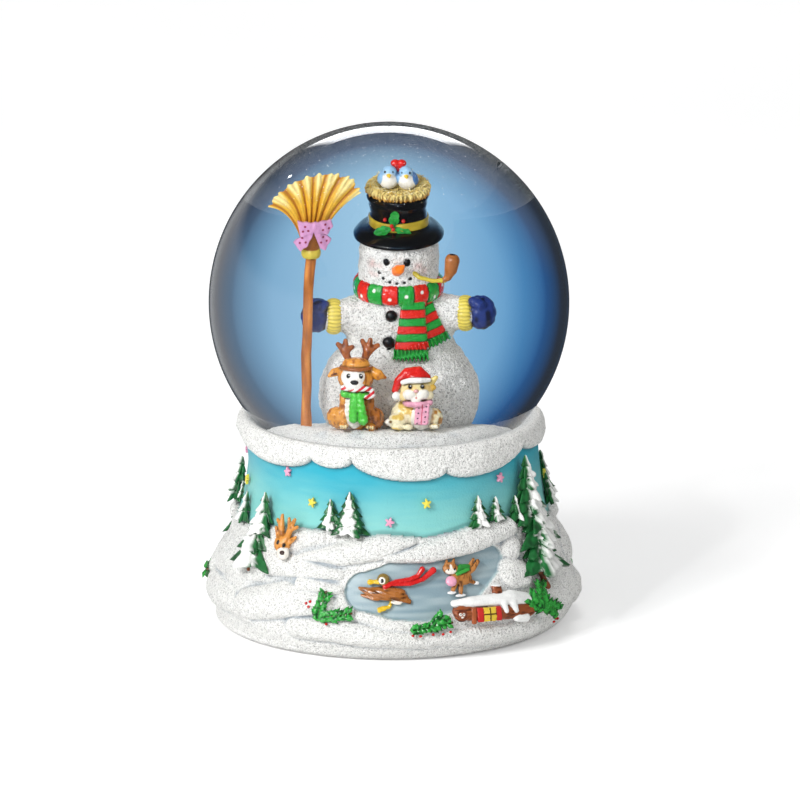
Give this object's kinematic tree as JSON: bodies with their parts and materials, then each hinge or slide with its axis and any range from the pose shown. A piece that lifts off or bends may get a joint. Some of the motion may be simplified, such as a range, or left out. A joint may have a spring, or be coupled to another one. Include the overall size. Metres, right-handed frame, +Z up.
{
  "type": "snow globe",
  "caption": "Water-filled glass globe with a snowman scene on a painted resin base, with a wind-up musical movement inside.",
  "frame": {"origin": "middle of the circle of feet, on the surface that they rest on", "axes": "+Z up, the snowman faces -Y, +X is to the right as seen from the front"},
  "size_m": [0.1036, 0.1036, 0.14],
  "materials": {
    "glass": "clear polished glass",
    "water": "clear liquid",
    "snow_flakes": "fine white flakes",
    "painted_snow": "white painted resin with a sugar texture",
    "rubber": "moulded rubber",
    "scarf_paint": "painted resin",
    "black_paint": "gloss painted resin",
    "straw_paint": "painted resin",
    "pale_blue_paint": "painted resin",
    "red_paint": "gloss painted resin",
    "brown_paint": "painted resin",
    "navy_paint": "painted resin",
    "lilac_paint": "painted resin",
    "cream_paint": "painted resin",
    "painted_base": "hand painted resin with a sugar texture",
    "black_plastic": "moulded plastic",
    "felt": "pressed felt",
    "steel": "plain steel",
    "brass": "machined brass",
    "cast_zinc": "die-cast metal"
  },
  "bodies": {
    "globe_body": {"glass_globe": "glass", "water_fill": "water", "settled_flakes": "snow_flakes", "snow_mound": "painted_snow", "rubber_stopper": "rubber", "snowman": "painted_snow", "scarf": "scarf_paint", "top_hat": "black_paint", "bird_nest": "straw_paint", "bluebird_left": "pale_blue_paint", "bluebird_right": "pale_blue_paint", "heart": "red_paint", "tobacco_pipe": "brown_paint", "left_mitten": "navy_paint", "right_mitten": "navy_paint", "broom": "straw_paint", "broom_bow": "lilac_paint", "dog": "brown_paint", "cat": "cream_paint", "resin_base": "painted_base", "bottom_plate": "black_plastic", "plate_screw_1": "steel", "plate_screw_2": "steel", "plate_screw_3": "steel", "foot_pad_1": "felt", "foot_pad_2": "felt", "foot_pad_3": "felt", "foot_pad_4": "felt", "bedplate": "cast_zinc", "barrel_bridge": "brass", "comb": "steel", "comb_screw_1": "steel", "comb_screw_2": "steel", "movement_screw_1": "steel", "movement_screw_2": "steel", "governor_frame": "cast_zinc"},
    "winder": {"winding_arbor": "steel", "winding_key": "brass"},
    "cylinder": {"music_cylinder": "brass", "cylinder_arbor": "steel", "drive_pinion": "brass", "cylinder_wheel": "brass"},
    "barrel": {"spring_barrel": "brass", "mainspring": "steel"},
    "governor": {"governor_pinion": "steel", "worm_wheel": "brass"},
    "brake": {"air_brake": "steel"}
  },
  "joints": [
    {"name": "winding_key_turn", "type": "hinge", "parent": "globe_body", "child": "winder", "pos_m": [-0.013, 0.001, 0.005], "axis": [0, 0, 1], "range_deg": [0, 1260]},
    {"name": "cylinder_spin", "type": "hinge", "parent": "globe_body", "child": "cylinder", "pos_m": [0, 0.001, 0.0268], "axis": [1, 0, 0], "continuous": true},
    {"name": "barrel_spin", "type": "hinge", "parent": "globe_body", "child": "barrel", "pos_m": [-0.013, 0.001, 0.02], "axis": [0, 0, 1], "continuous": true},
    {"name": "governor_spin", "type": "hinge", "parent": "globe_body", "child": "governor", "pos_m": [0.0196, -0.00615, 0.0222], "axis": [1, 0, 0], "continuous": true},
    {"name": "air_brake_spin", "type": "hinge", "parent": "globe_body", "child": "brake", "pos_m": [0.0196, -0.01195, 0.0222], "axis": [0, 0, 1], "continuous": true}
  ],
  "couplings": [
    {"joint": "barrel_spin", "follows": "cylinder_spin", "ratio": 0.44444},
    {"joint": "governor_spin", "follows": "cylinder_spin", "ratio": -4},
    {"joint": "air_brake_spin", "follows": "cylinder_spin", "ratio": -80}
  ]
}
